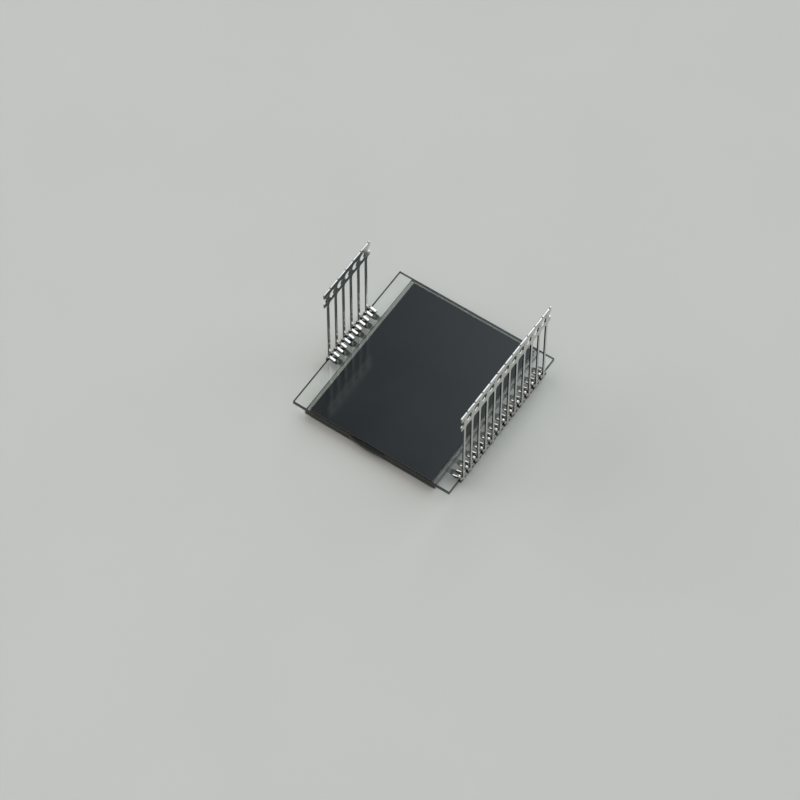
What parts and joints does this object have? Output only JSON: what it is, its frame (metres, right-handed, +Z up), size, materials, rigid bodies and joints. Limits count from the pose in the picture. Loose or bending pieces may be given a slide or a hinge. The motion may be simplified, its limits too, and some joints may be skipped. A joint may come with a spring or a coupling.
{
  "type": "segment lcd display",
  "caption": "Bare glass segment liquid crystal display lying face down, with a short and a long row of clip-on pins standing up on their carrier strips.",
  "frame": {"origin": "middle of the wide glass, on the outer surface of the front polariser, which is the viewing face that the display rests on", "axes": "+X from the short pin row to the long pin row, +Y along the pin rows away from the filling port, +Z up from the viewing face to the pin ends"},
  "size_m": [0.0292, 0.0293, 0.0194],
  "materials": {
    "polariser": "gloss",
    "glass": "polished",
    "conductive_film": "polished",
    "liquid_crystal": "clear liquid",
    "seal_resin": "satin",
    "end_resin": "gloss",
    "tinned_metal": "bright tin plate",
    "carbon_paste": "matt",
    "silver_paste": "matt"
  },
  "bodies": {
    "root": {"front_polariser": "polariser", "common_glass": "glass", "segment_glass": "glass", "rear_polariser": "polariser", "segment_electrodes": "conductive_film", "common_electrodes": "conductive_film", "contact_pads": "conductive_film", "perimeter_seal": "seal_resin", "end_seal": "end_resin", "liquid_crystal": "liquid_crystal", "transfer_dots": "silver_paste", "lead_frame_left": "tinned_metal", "lead_frame_right": "tinned_metal", "contact_paste_left": "carbon_paste", "contact_paste_right": "carbon_paste"}
  },
  "joints": []
}
